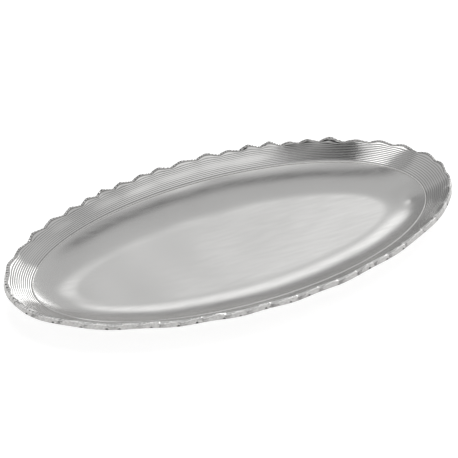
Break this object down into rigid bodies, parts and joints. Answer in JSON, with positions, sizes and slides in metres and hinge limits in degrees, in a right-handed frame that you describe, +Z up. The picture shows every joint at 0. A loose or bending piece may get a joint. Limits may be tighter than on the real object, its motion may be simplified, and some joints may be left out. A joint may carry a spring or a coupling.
{
  "type": "tray",
  "caption": "Long oval metal serving tray with a shallow smooth well, a reeded sloping border, a bead wire on the seam and a lobed hammered edge band.",
  "frame": {"origin": "on the table under the middle of the tray, in the plane of the foot pads' undersides", "axes": "+X along the tray's length, +Y across it, +Z up"},
  "size_m": [0.463, 0.229, 0.0328],
  "materials": {
    "pan_metal": "satin silver-coloured plate",
    "flange_metal": "bright silver-coloured plate, reeded",
    "bead_metal": "bright silver-coloured plate",
    "band_metal": "bright silver-coloured plate, hammered",
    "wire_metal": "plain drawn wire",
    "pad_felt": "dense felt"
  },
  "bodies": {
    "root": {"well_pan": "pan_metal", "rim_flange": "flange_metal", "seam_bead": "bead_metal", "edge_band": "band_metal", "edge_wire": "wire_metal", "foot_pad_1": "pad_felt", "foot_pad_2": "pad_felt", "foot_pad_3": "pad_felt", "foot_pad_4": "pad_felt"}
  },
  "joints": []
}
